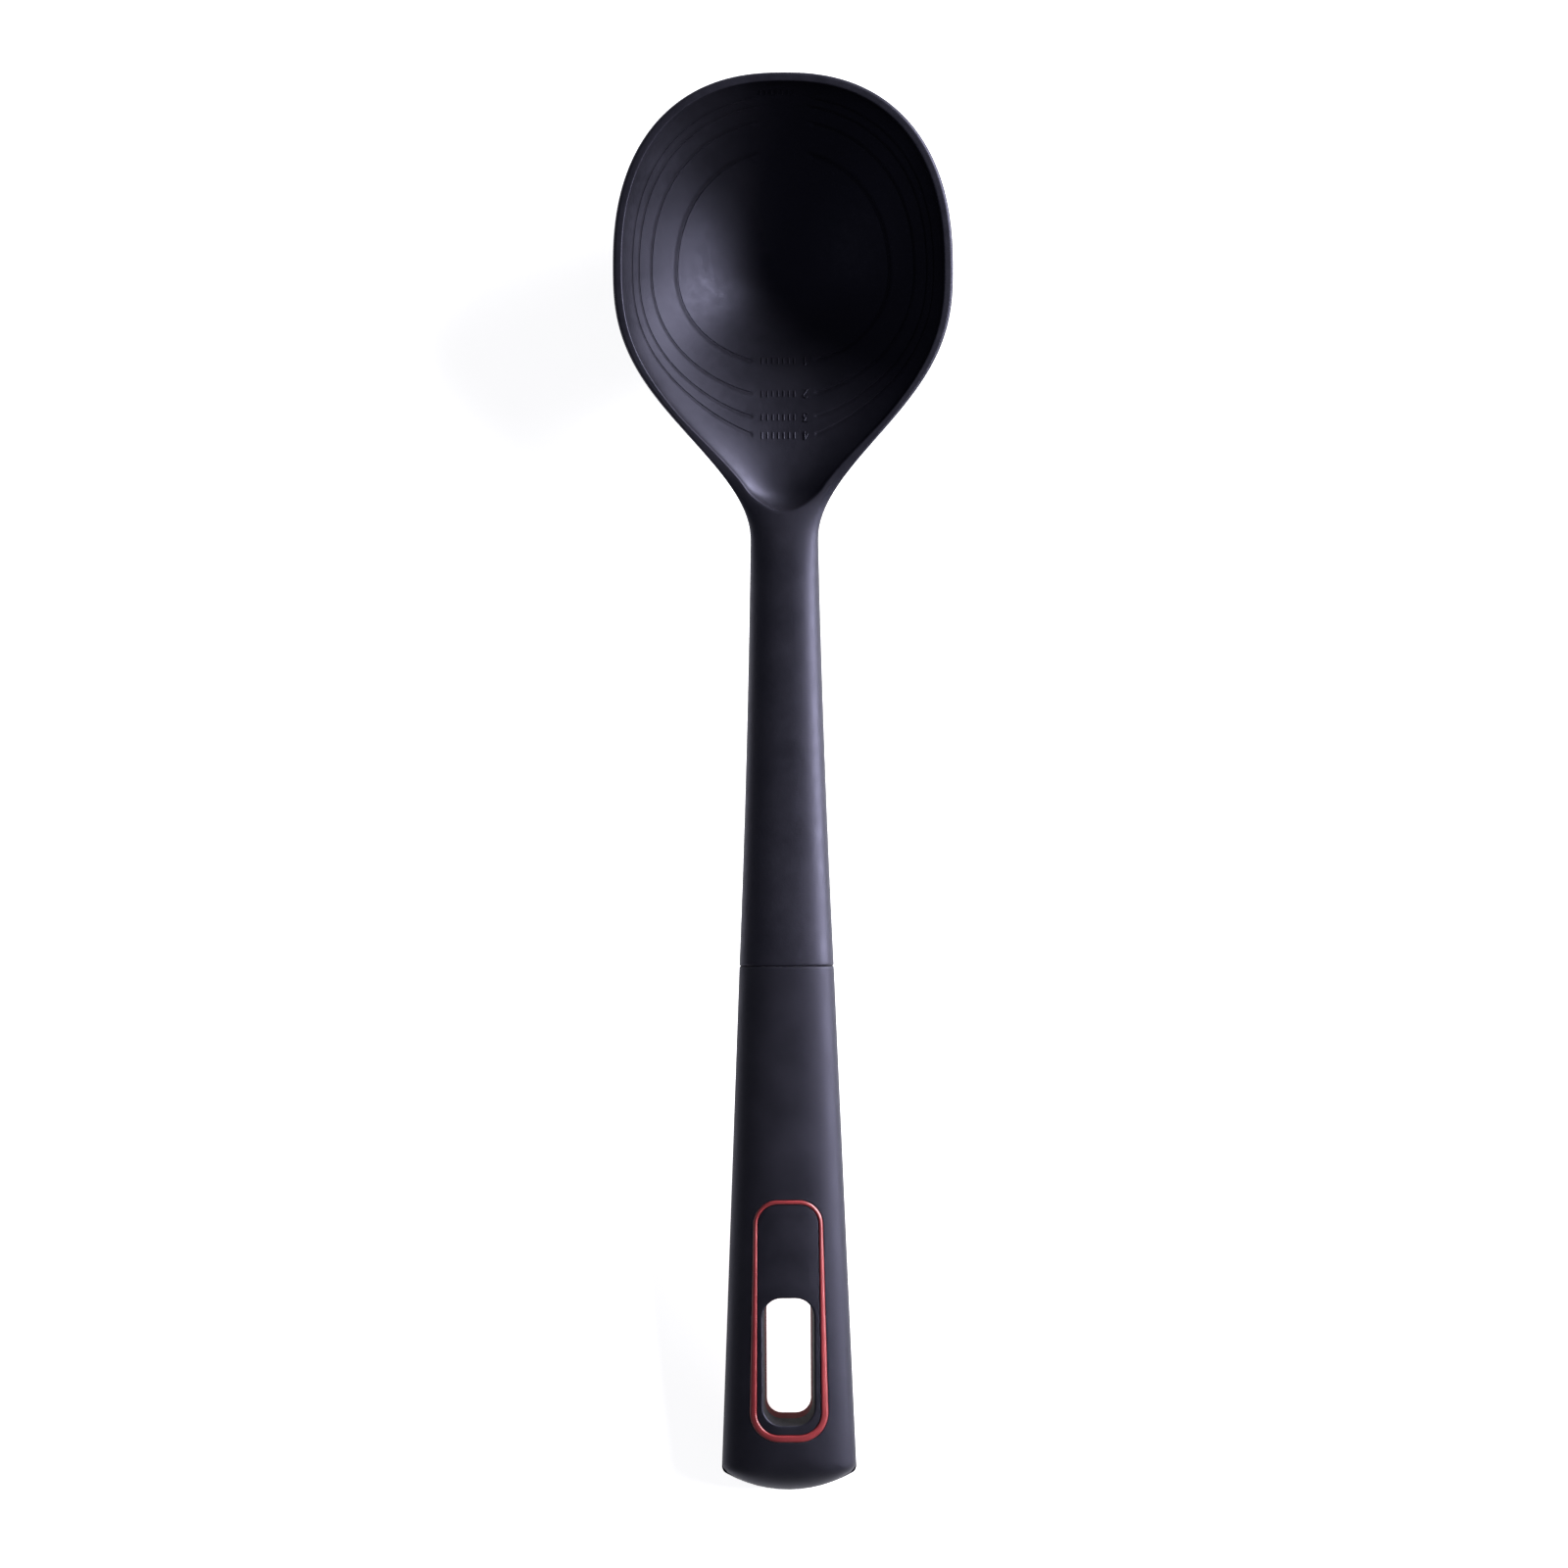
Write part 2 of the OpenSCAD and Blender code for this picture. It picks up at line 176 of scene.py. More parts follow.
# Where the rings lie across a band, from its inner edge (0) to its outer edge (1)
RIM_SHARES = (0, 0.02, 0.05, 0.09, 0.16, 0.3, 0.45, 0.62, 0.7, 0.77, 0.84, 0.9, 0.95, 0.98, 0.993, 1)
INSERT_SHARES = (0, 0.03, 0.08, 0.15, 0.25, 0.4, 0.5, 0.6, 0.75, 0.85, 0.92, 0.97, 1)
PLATE_SHARES = (0.15, 0.3, 0.45, 0.6, 0.75, 0.9)
WELD_DISTANCE = 2e-6
SLIVER_EDGE = 1e-7
NO_ROUNDING = 1e-6

# No width is taken as less than this when dividing by it.
SMALL = 0.01

# Faces steeper than this (upward share of the normal) take the duller finish of a slot wall; on the
# red insert that finish is also a darker red, painted shade.
WALL_STEEP = 0.45


# ---- Numbers -----------------------------------------------------------------------------

def mix(a, b, share):
    return a + (b - a) * share


def smooth(v):
    v = np.clip(v, 0, 1)
    return v * v * (3 - 2 * v)


def bell(v, sharpness):
    return (1 + np.cos(np.pi * np.clip(v, 0, 1) ** sharpness)) / 2


def oval_quarter(along, half, reach, fullness):
    share = np.clip(along / reach, 0, 1)
    return half * (1 - share ** fullness) ** (1 / fullness)


def wall_rise(share):
    """Rise of the bowl's wall from its middle (0) to its rim (1): gentle, then steep."""
    share = np.clip(share, 0, 1)
    return mix(share ** 2, 1 - np.sqrt(1 - share ** 2), WALL_STEEPNESS)


def quarter_round(distance, radius):
    """How far a rounded edge has fallen at a distance from the edge."""
    inside = np.clip(radius - distance, 0, radius)
    return radius - np.sqrt(radius ** 2 - inside ** 2)


# ---- Outline in plan ---------------------------------------------------------------------

def shaft_half(s):
    share = np.clip((s - NECK_END) / (SEAM - NECK_END), 0, 1)
    return mix(NECK_HALF, SEAM_HALF, mix(share ** 2, share, SHAFT_STRAIGHTNESS))


def grip_half(s):
    return mix(SEAM_HALF, END_HALF, (s - SEAM) / (TOTAL_LENGTH - SEAM))


def outer_half(s):
    tip = oval_quarter(BOWL_MIDDLE - s, BOWL_WIDTH / 2, BOWL_MIDDLE, TIP_FULLNESS)
    flare = bell((s - BOWL_MIDDLE) / (NECK_END - BOWL_MIDDLE), NECK_FLARE)
    neck = shaft_half(s) + (BOWL_WIDTH / 2 - NECK_HALF) * flare
    return np.where(s < BOWL_MIDDLE, tip, np.where(s < SEAM, neck, grip_half(s)))


def rim_width(s):
    return mix(RIM_BAND, NECK_BAND, smooth((s - BAND_START) / (HOLLOW_SHOULDER - BAND_START)))


def hollow_span(s):
    """Half width of the hollow, before its neck end is rounded off."""
    half, reach = BOWL_WIDTH / 2 - RIM_BAND, BOWL_MIDDLE - RIM_BAND
    tip = oval_quarter(BOWL_MIDDLE - s, half, reach, TIP_FULLNESS)
    return np.where(s < BOWL_MIDDLE, tip, outer_half(s) - rim_width(s))


# ---- Heights -----------------------------------------------------------------------------

def handle_share(s):
    return np.clip((s - NECK_END) / (TOTAL_LENGTH - NECK_END), 0, 1)


def edge_line(s):
    """Height of the top of the upright edge that runs round the outline."""
    fall = HANDLE_DROP * np.maximum(0, (s - HOLLOW_END) / HANDLE_REACH) ** HANDLE_BEND
    return RIM_HEIGHT - fall - crown(s)


def crown(s):
    start = smooth((s - CROWN_START) / (CROWN_FULL - CROWN_START))
    return mix(NECK_CROWN, END_CROWN, handle_share(s)) * start


def belly(s):
    tip_share = np.clip((BOWL_MIDDLE - s) / BOWL_MIDDLE, 0, 1)
    tip = BOWL_BELLY * (1 - wall_rise(tip_share))
    handle = mix(NECK_BELLY, END_BELLY, handle_share(s))
    back = mix(handle, BOWL_BELLY, bell((s - BOWL_MIDDLE) / BELLY_REACH, HOLLOW_SHARPNESS))
    return np.where(s < BOWL_MIDDLE, tip, back)


def across_share(x, s):
    """0 on the middle line, 1 on the outline."""
    return np.abs(x) / np.maximum(outer_half(s), SMALL)


def rounded(x, s):
    """1 on the middle line, falling to 0 on the outline."""
    end_x = np.minimum(np.abs(x), END_HALF)
    end_outline = END_CENTRE + np.sqrt(END_RADIUS ** 2 - end_x ** 2)
    end_share = np.clip((s - ROUND_START) / (end_outline - ROUND_START), 0, 1)
    across = across_share(x, s)
    outward = (across ** END_SQUARENESS + end_share ** END_SQUARENESS) ** (1 / END_SQUARENESS)
    return np.sqrt(1 - np.clip(outward, 0, 1) ** HANDLE_ROUNDNESS)


def top(x, s):
    return edge_line(s) + crown(s) * rounded(x, s)


def bottom(x, s):
    bowl = 1 - wall_rise(across_share(x, s))
    fullness = mix(bowl, rounded(x, s), smooth((s - SECTION_START) / SECTION_REACH))
    return np.maximum(0, edge_line(s) - EDGE_HEIGHT - belly(s) * fullness)


def hollow_depth(s):
    tip_share = np.clip((BOWL_MIDDLE - s) / (BOWL_MIDDLE - RIM_BAND), 0, 1)
    tip = BOWL_DEPTH * (1 - wall_rise(tip_share))
    back = mix(HOLLOW_END_DEPTH, BOWL_DEPTH, bell((s - BOWL_MIDDLE) / HOLLOW_REACH, HOLLOW_SHARPNESS))
    return np.where(s < BOWL_MIDDLE, tip, back)


def hollow_floor(x, s):
    end_share = np.clip((s - HOLLOW_SHOULDER) / (HOLLOW_END - HOLLOW_SHOULDER), 0, 1)
    share = np.hypot(x / np.maximum(hollow_span(s), SMALL), end_share)
    extra = np.maximum(0, hollow_depth(s) - RIM_ROUNDING)
    return top(x, s) - RIM_ROUNDING - extra * (1 - wall_rise(share))


# ---- Mesh building -----------------------------------------------------------------------

def ring(places, z):
    """Points of a ring, from its places in plan (x, station) and its heights."""
    y = TOTAL_LENGTH / 2 - places[:, 1]
    return np.column_stack([places[:, 0], y, np.broadcast_to(z, y.shape)])


def section_ring(s, inset=0.0, scale=1.0):
    """The handle's section at one station: across the top from -X, and back underneath."""
    across = -np.cos(np.linspace(0, np.pi, ACROSS + 1))
    half = float(outer_half(np.asarray(s)))
    station = np.full(across.shape, s)
    upper = top(across * half, station) - inset
    lower = bottom(across * half, station) + inset
    middle = (upper[ACROSS // 2] + lower[ACROSS // 2]) / 2
    places = np.column_stack([across * (half - inset) * scale, station])
    over = ring(places, mix(middle, upper, scale))
    under = ring(places, mix(middle, lower, scale))
    return np.vstack([over, under[::-1]])


def seam_end(side):
    """Rings that draw a section in at the seam and close it; side is -1 on the bowl's side."""
    rings = [section_ring(SEAM + side * away, inset) for away, inset in SEAM_PROFILE]
    return rings + [section_ring(SEAM, SEAM_GROOVE, scale) for scale in (0.5, 0)]


def patch(rings, closed=True):
    """Vertices and quads of a skin over rings of equal length."""
    count = len(rings[0])
    steps = count if closed else count - 1
    faces = []
    for r in range(len(rings) - 1):
        for i in range(steps):
            j = (i + 1) % count
            faces.append((r * count + i, r * count + j, (r + 1) * count + j, (r + 1) * count + i))
    return np.vstack(rings), faces


def edge_skin(upper_edge, lower_edge):
    """The upright edge round an outline, and the section left open where the outline is cut."""
    around = list(range(ACROSS, len(upper_edge))) + [0]
    wall = [mix(upper_edge[around], lower_edge[around], share) for share in (0, 0.5, 1)]
    cut = np.vstack([upper_edge[:ACROSS + 1], lower_edge[:ACROSS + 1][::-1]])
    return patch(wall, closed=False), cut


def solid(name, patches, material, nodes=(), sharp_degrees=38, wall_material=None):
    """One closed piece from skins whose edges meet, in place on the model's one body."""
    vertices, faces = [], []
    for points, quads in patches:
        start = len(vertices)
        vertices.extend(map(tuple, points * MM))
        faces.extend(tuple(start + i for i in quad) for quad in quads)
    mesh = bpy.data.meshes.new(name)
    mesh.from_pydata(vertices, [], faces)
    work = bmesh.new()
    work.from_mesh(mesh)
    bmesh.ops.remove_doubles(work, verts=work.verts, dist=WELD_DISTANCE)
    bmesh.ops.dissolve_degenerate(work, edges=work.edges, dist=SLIVER_EDGE)
    bmesh.ops.recalc_face_normals(work, faces=work.faces)
    work.to_mesh(mesh)
    work.free()
    mesh.shade_smooth()
    mesh.set_sharp_from_angle(angle=math.radians(sharp_degrees))
    mesh.materials.append(material)
    if wall_material:
        mesh.materials.append(wall_material)
        for polygon in mesh.polygons:
            polygon.material_index = int(abs(polygon.normal.z) < WALL_STEEP)
    piece = bpy.data.objects.new(name, mesh)
    bpy.context.collection.objects.link(piece)
    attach(piece, "root")
    if nodes:
        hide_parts(*nodes)
    return piece


# ---- Materials ---------------------------------------------------------------------------

class Nodes:
    """A short way to write a node material."""

    def __init__(self, name):
        self.material = bpy.data.materials.new(name)
        self.material.use_nodes = True
        self.tree = self.material.node_tree
        self.shader = self.tree.nodes["Principled BSDF"]
        self.place = self.add("ShaderNodeTexCoord").outputs["Object"]

    def add(self, kind, **settings):
        node = self.tree.nodes.new(kind)
        for key, value in settings.items():
            setattr(node, key, value)
        return node

    def link(self, source, target):
        self.tree.links.new(source, target)

    def noise(self, scale, detail=3.0, roughness=0.5, stretch=None):
        place = self.place
        if stretch:
            mapping = self.add("ShaderNodeMapping")
            mapping.inputs["Scale"].default_value = stretch
            self.link(place, mapping.inputs["Vector"])
            place = mapping.outputs["Vector"]
        node = self.add("ShaderNodeTexNoise")
        node.inputs["Scale"].default_value = scale
        node.inputs["Detail"].default_value = detail
        node.inputs["Roughness"].default_value = roughness
        self.link(place, node.inputs["Vector"])
        return node.outputs["Fac"]

    def spread(self, source, low, high, start=0.3, end=0.7):
        node = self.add("ShaderNodeMapRange")
        node.inputs["From Min"].default_value = start
        node.inputs["From Max"].default_value = end
        node.inputs["To Min"].default_value = low
        node.inputs["To Max"].default_value = high
        self.link(source, node.inputs["Value"])
        return node.outputs["Result"]

    def plus(self, a, b):
        node = self.add("ShaderNodeMath", operation="ADD")
        self.link(a, node.inputs[0])
        self.link(b, node.inputs[1])
        return node.outputs["Value"]

    def blend_colours(self, factor, dark, light):
        node = self.add("ShaderNodeMix", data_type="RGBA")
        node.inputs["A"].default_value = (*dark, 1)
        node.inputs["B"].default_value = (*light, 1)
        self.link(factor, node.inputs["Factor"])
        self.link(node.outputs["Result"], self.shader.inputs["Base Color"])

    def bump(self, height, strength, distance):
        node = self.add("ShaderNodeBump")
        node.inputs["Strength"].default_value = strength
        node.inputs["Distance"].default_value = distance
        self.link(height, node.inputs["Height"])
        self.link(node.outputs["Normal"], self.shader.inputs["Normal"])


# Blacks that reflect a little cool.
REFLECTION_TINT = (0.72, 0.71, 1.0, 1)


def nylon_material():
    """Black filled nylon: a satin skin, mottled where the filler shows, with a fine grain."""
    m = Nodes("black_nylon")
    m.shader.inputs["Specular Tint"].default_value = REFLECTION_TINT
    mottle = m.noise(420, detail=4, roughness=0.6)
    grain = m.noise(3200, detail=2)
    cloud = m.noise(70, detail=2)
    m.blend_colours(m.spread(cloud, 0, 1), (0.0080, 0.0078, 0.0110), (0.0125, 0.0120, 0.0165))
    rough = m.plus(m.spread(mottle, 0.42, 0.52), m.spread(cloud, -0.02, 0.03))
    m.link(rough, m.shader.inputs["Roughness"])
    m.shader.inputs["Specular IOR Level"].default_value = 0.5
    height = m.plus(m.spread(grain, 0, 0.5, 0.2, 0.8), m.spread(mottle, 0, 1, 0.2, 0.8))
    m.bump(height, 0.25, 0.00006)
    return m.material


def grip_material():
    """Soft-touch rubber: darker, smoother and duller than the nylon, with a faint bloom."""
    m = Nodes("soft_grip")
    m.shader.inputs["Specular Tint"].default_value = REFLECTION_TINT
    cloud = m.noise(110, detail=3)
    grain = m.noise(5200, detail=2)
    m.blend_colours(m.spread(cloud, 0, 1), (0.0060, 0.0058, 0.0085), (0.0095, 0.0090, 0.0130))
    m.link(m.spread(cloud, 0.50, 0.58), m.shader.inputs["Roughness"])
    m.shader.inputs["Specular IOR Level"].default_value = 0.45
    m.shader.inputs["Sheen Weight"].default_value = 0.04
    m.shader.inputs["Sheen Roughness"].default_value = 0.5
    m.bump(grain, 0.18, 0.00004)
    return m.material


def accent_material():
    """Satin red plastic, a little deeper in places."""
    m = Nodes("red_accent")
    cloud = m.noise(160, detail=3)
    grain = m.noise(2600, detail=2)
    m.blend_colours(m.spread(cloud, 0, 1), (0.21, 0.024, 0.028), (0.29, 0.036, 0.041))
    m.shader.inputs["Coat Weight"].default_value = 0.5
    m.shader.inputs["Coat Roughness"].default_value = 0.35
    m.link(m.spread(cloud, 0.30, 0.38), m.shader.inputs["Roughness"])
    m.bump(grain, 0.12, 0.00004)
    return m.material


def plate_material():
    """Hard black plastic of the plate round the slot, with a light moulding haze."""
    m = Nodes("black_plate")
    m.shader.inputs["Specular Tint"].default_value = REFLECTION_TINT
    cloud = m.noise(190, detail=4)
    grain = m.noise(3800, detail=2)
    m.blend_colours(m.spread(cloud, 0, 1), (0.0075, 0.0072, 0.0100), (0.0115, 0.0110, 0.0150))
    m.link(m.spread(cloud, 0.44, 0.54), m.shader.inputs["Roughness"])
    m.bump(grain, 0.2, 0.00005)
    return m.material


def wall_finish(name, colour):
    """The dull, finely pitted finish inside the slot, where no tool polished the mould. Its colour is
    used as given: the red walls get a darker red than the insert, painted shade.
    """
    m = Nodes(name)
    pits = m.noise(2400, detail=3)
    shade = tuple(0.7 * part for part in colour)
    m.blend_colours(m.spread(pits, 0, 1), shade, colour)
    m.link(m.spread(pits, 0.72, 0.85), m.shader.inputs["Roughness"])
    m.shader.inputs["Specular IOR Level"].default_value = 0.12
    m.bump(pits, 0.3, 0.00005)
    return m.material


# ---- Bowl and shaft ----------------------------------------------------------------------

def bowl_outlines():
    """The outer outline and the hollow's, both from the neck round the tip, spoke by spoke."""
    across = np.linspace(0, np.pi, ACROSS + 1)
    turn = np.arange(1, AROUND_BOWL)
    share = (1 + np.cos(2 * np.pi * turn / AROUND_BOWL)) / 2
    side = np.where(turn < AROUND_BOWL / 2, 1, -1)
    neck = float(outer_half(np.asarray(NECK_END)))
    outer_s = HOLLOW_SHOULDER * share + (NECK_END - HOLLOW_SHOULDER) * share ** 4
    outer = np.vstack([
        np.column_stack([-neck * np.cos(across), np.full(across.shape, NECK_END)]),
        np.column_stack([side * outer_half(outer_s), outer_s]),
    ])
    inner_s = mix(RIM_BAND, HOLLOW_SHOULDER, share)
    end_s = HOLLOW_SHOULDER + (HOLLOW_END - HOLLOW_SHOULDER) * np.sin(across)
    inner = np.vstack([
        np.column_stack([-hollow_span(end_s) * np.cos(across), end_s]),
        np.column_stack([side * hollow_span(inner_s), inner_s]),
    ])
    return outer, inner


def line_cut(places):
    """How deep a level line is cut at each place: nothing where the labels stand."""
    x, s = places[:, 0], places[:, 1]
    gap = np.where(s > BOWL_MIDDLE, LABEL_GAP, TIP_GAP)
    return LINE_DEPTH * smooth((np.abs(x) - gap) / LINE_FADE)


def hollow_rings(outline):
    """Rings from the deepest place up to the rim, with the level lines cut along their heights."""
    centre = np.array([0, BOWL_MIDDLE])
    shares = np.linspace(0, 1, HEIGHT_SAMPLES)
    places = centre + shares[:, None, None] * (outline - centre)
    heights = np.maximum.accumulate(hollow_floor(places[..., 0], places[..., 1]), axis=0)

    def share_at(level):
        return np.array([np.interp(level, column, shares) for column in heights.T])

    rings = []

    def add_rings(start, end, steps, cut_start=0.0, cut_end=0.0):
        for step in range(steps):
            at = centre + mix(start, end, step / steps)[:, None] * (outline - centre)
            cut = mix(cut_start, cut_end, step / steps) * line_cut(at)
            rings.append(ring(at, hollow_floor(at[:, 0], at[:, 1]) - cut))

    reached = np.zeros(len(outline))
    for number, above in enumerate(LEVEL_HEIGHTS):
        level = heights[0, 0] + above
        edges = [share_at(level + offset * LINE_HALF_HEIGHT) for offset in (-1, -0.4, 0.4, 1)]
        add_rings(reached, edges[0], BETWEEN_LINES_RINGS if number else FLOOR_RINGS)
        add_rings(edges[0], edges[1], 1, 0, 1)
        add_rings(edges[1], edges[2], 1, 1, 1)
        add_rings(edges[2], edges[3], 1, 1, 0)
        reached = edges[3]
    add_rings(reached, np.ones(len(outline)), WALL_RINGS)
    return rings


def rim_rings(outer, inner):
    """Rings over the flat rim, rounded at both edges, and on over the neck."""
    rings = []
    for share in RIM_SHARES:
        at = mix(inner, outer, share)
        band = rim_width(at[:, 1])
        fade = smooth((at[:, 1] - CROWN_START) / RIM_FADE)
        outer_round = np.maximum(RIM_OUTER_ROUNDING * (1 - fade), NO_ROUNDING)
        fall = quarter_round(share * band, RIM_ROUNDING)
        fall = fall + quarter_round((1 - share) * band, outer_round)
        rings.append(ring(at, top(at[:, 0], at[:, 1]) - fall))
    return rings


def bowl_piece(material):
    outer, inner = bowl_outlines()
    upper = hollow_rings(inner) + rim_rings(outer, inner)
    centre = np.tile(np.array([0, BOWL_MIDDLE]), (len(outer), 1))
    lower = []
    for share in 1 - np.cos(np.linspace(0, np.pi / 2, BELLY_RINGS)):
        at = mix(outer, centre, share)
        lower.append(ring(at, bottom(at[:, 0], at[:, 1])))
    wall, cut = edge_skin(upper[-1], lower[0])
    stations = np.linspace(NECK_END + SECTION_GAP, SEAM - SEAM_LEAD, SHAFT_RINGS)
    shaft = [cut] + [section_ring(s) for s in stations] + seam_end(-1)
    patches = [patch(upper), patch(lower), wall, patch(shaft)]
    return solid("bowl_and_shaft_moulding", patches, material, ["bowl_and_shaft"])


# ---- Level marks -------------------------------------------------------------------------

# Strokes of each generic numeral, in a box 1 wide and 2 high, read from the bowl tip.
NUMERALS = {
    1: [[(0.2, 1.6), (0.6, 2.0), (0.6, 0.0)]],
    2: [[(0.0, 1.6), (0.25, 1.95), (0.75, 1.95), (1.0, 1.6), (0.9, 1.2), (0.0, 0.0), (1.0, 0.0)]],
    3: [[(0.05, 2.0), (0.95, 2.0), (0.45, 1.2), (0.85, 1.05), (1.0, 0.6), (0.8, 0.1), (0.3, 0.0),
         (0.0, 0.3)]],
    4: [[(0.75, 0.0), (0.75, 2.0), (0.0, 0.6), (1.05, 0.6)]],
}
NUMERAL_HEIGHT = 2.0
NUMERAL_X = 5.2
STROKE_HALF = 0.2
STROKE_RISE = 0.2
STROKE_ROOT = 0.25
STROKE_STEP = 0.15
TICK_PLACES = (2.6, 1.3, 0.0, -1.3, -2.6, -3.9, -5.2)
TICK_HALF = 0.75
TIP_TICK_STATION = 4.4
TIP_TICK_HALF = 0.45


def stroke_patch(path):
    """A raised ridge along a path of (x, station) places on the bowl's floor."""
    path = np.array(path, float)
    fine = [path[0]]
    for a, b in zip(path[:-1], path[1:]):
        steps = max(2, int(np.hypot(*(b - a)) / STROKE_STEP))
        fine += [mix(a, b, i / steps) for i in range(1, steps + 1)]
    fine = np.array(fine)
    way = np.gradient(fine, axis=0)
    way /= np.linalg.norm(way, axis=1)[:, None]
    across = np.column_stack([-way[:, 1], way[:, 0]]) * STROKE_HALF
    profile = ((-1, -STROKE_ROOT), (-1, STROKE_RISE * 0.5), (-0.6, STROKE_RISE),
               (0.6, STROKE_RISE), (1, STROKE_RISE * 0.5), (1, -STROKE_ROOT))
    columns = []
    for side, rise in profile:
        at = fine + side * across
        columns.append(ring(at, hollow_floor(at[:, 0], at[:, 1]) + rise))
    rings = list(np.stack(columns, axis=1))
    ends = [np.tile(rings[0].mean(axis=0), (len(profile), 1)),
            np.tile(rings[-1].mean(axis=0), (len(profile), 1))]
    return patch([ends[0]] + rings + [ends[1]])


def level_station(above):
    """Station on the neck side where a level line this far above the deepest place ends."""
    s = np.linspace(BOWL_MIDDLE, HOLLOW_SHOULDER, HEIGHT_SAMPLES)
    heights = hollow_floor(np.full(s.shape, LABEL_GAP), s)
    deepest = float(hollow_floor(np.asarray(0.0), np.asarray(BOWL_MIDDLE)))
    return float(np.interp(deepest + above, heights, s))


def numeral(number, middle):
    """Ridges of a numeral on the row at this station."""
    scale = NUMERAL_HEIGHT / 2
    return [
        stroke_patch([(NUMERAL_X - (x - 0.5) * scale, middle + (y - 1) * scale) for x, y in stroke])
        for stroke in NUMERALS[number]
    ]


def tick_row(middle, half):
    return [stroke_patch([(x, middle - half), (x, middle + half)]) for x in TICK_PLACES]


def level_marks(material):
    patches = []
    for number, above in enumerate(LEVEL_HEIGHTS, start=1):
        middle = level_station(above)
        patches += numeral(number, middle) + tick_row(middle, TICK_HALF)
    patches += tick_row(TIP_TICK_STATION, TIP_TICK_HALF)
    return solid("level_marks", patches, material, sharp_degrees=60)


# ---- Grip, insert and plate --------------------------------------------------------------

def arc_places(x, s, radius, start, end, steps):
    angle = np.radians(np.linspace(start, end, steps, endpoint=False))
    return np.column_stack([x + radius * np.cos(angle), s - radius * np.sin(angle)])


def line_places(a, b, steps):
    share = np.linspace(0, 1, steps, endpoint=False)[:, None]
    return mix(np.array(a, float), np.array(b, float), share)


def slot_shape(front, back, front_half, back_half, front_corner, back_corner):
    """A rounded outline from the +X side across the front to -X and round the back."""
    fx, fs = front_half - front_corner, front + front_corner
    bx, bs = back_half - back_corner, back - back_corner
    return np.vstack([
        arc_places(fx, fs, front_corner, 0, 90, CORNER_STEPS),
        line_places((fx, front), (-fx, front), EDGE_STEPS),
        arc_places(-fx, fs, front_corner, 90, 180, CORNER_STEPS),
        line_places((-front_half, fs), (-back_half, bs), SIDE_STEPS),
        arc_places(-bx, bs, back_corner, 180, 270, CORNER_STEPS),
        line_places((-bx, back), (bx, back), EDGE_STEPS),
        arc_places(bx, bs, back_corner, 270, 360, CORNER_STEPS),
        line_places((back_half, bs), (front_half, fs), SIDE_STEPS),
    ])


def handle_side(start, end, side):
    s = np.linspace(start, end, SIDE_STEPS, endpoint=False)
    return np.column_stack([side * outer_half(s), s])


def grip_shape():
    """The grip's outline from a cut in front of the insert, round the handle end."""
    angle = np.linspace(0, np.pi, ACROSS, endpoint=False)
    half = float(outer_half(np.asarray(GRIP_CUT)))
    left, right = 180 + CORNER_ANGLE, 360 - CORNER_ANGLE
    return np.vstack([
        np.column_stack([half * np.cos(angle), np.full(angle.shape, GRIP_CUT)]),
        handle_side(GRIP_CUT, CORNER_STATION, -1),
        arc_places(-CORNER_X, CORNER_STATION, END_CORNER, 180, left, CORNER_STEPS),
        arc_places(0, END_CENTRE, END_RADIUS, left, right, EDGE_STEPS),
        arc_places(CORNER_X, CORNER_STATION, END_CORNER, right, 360, CORNER_STEPS),
        handle_side(CORNER_STATION, GRIP_CUT, 1),
    ])


def on_top(places, rise=0.0):
    return ring(places, top(places[:, 0], places[:, 1]) + rise)


def on_bottom(places, rise=0.0):
    return ring(places, bottom(places[:, 0], places[:, 1]) + rise)


def on_cup_floor(places):
    return ring(places, edge_line(places[:, 1]) - FLOOR_BELOW_EDGE)


def insert_shape(grow=0.0):
    return slot_shape(INSERT_FRONT - grow, INSERT_BACK + grow,
                      INSERT_FRONT_HALF + grow, INSERT_BACK_HALF + grow,
                      INSERT_FRONT_CORNER + grow, INSERT_BACK_CORNER + grow)


def plate_shape(grow=0.0):
    return slot_shape(INSERT_FRONT + INSERT_FRONT_BAND - grow, INSERT_BACK - INSERT_BACK_BAND + grow,
                      INSERT_FRONT_HALF - INSERT_FRONT_BAND + grow,
                      INSERT_BACK_HALF - INSERT_BACK_BAND + grow,
                      INSERT_FRONT_CORNER - INSERT_FRONT_BAND + grow,
                      INSERT_BACK_CORNER - INSERT_BACK_BAND + grow)


def slot_ring(shrink, lean):
    return slot_shape(SLOT_FRONT + shrink - lean, SLOT_BACK - shrink - lean,
                      SLOT_HALF - shrink, SLOT_HALF - shrink,
                      SLOT_CORNER - shrink, SLOT_CORNER - shrink)


def grip_piece(material):
    inner, outer = insert_shape(), grip_shape()
    shares = np.sin(np.linspace(0, np.pi / 2, GRIP_TOP_RINGS))
    upper, lower = [on_top(inner, -GRIP_WINDOW_DEPTH)], []
    for share in np.concatenate([[0.0, 0.004, 0.012], shares[1:]]):
        at = mix(inner, outer, share)
        gap = np.linalg.norm(at - inner, axis=1)
        fall = quarter_round(gap, GRIP_WINDOW_ROUNDING)
        upper.append(ring(at, top(at[:, 0], at[:, 1]) - fall))
    for share in shares[::-1]:
        lower.append(on_bottom(mix(inner, outer, share)))
    wall, cut = edge_skin(upper[-1], lower[0])
    stations = np.linspace(GRIP_CUT - GRIP_SECTION_GAP, SEAM + SEAM_LEAD, GRIP_RINGS)
    front = [section_ring(s) for s in stations] + seam_end(1)
    mirrored = [points * np.array([-1, 1, 1]) for points in front]
    window = [lower[-1], upper[0]]
    patches = [patch(upper), patch(lower), wall, patch(window), patch([cut] + mirrored)]
    return solid("grip_sleeve", patches, material, ["grip"])


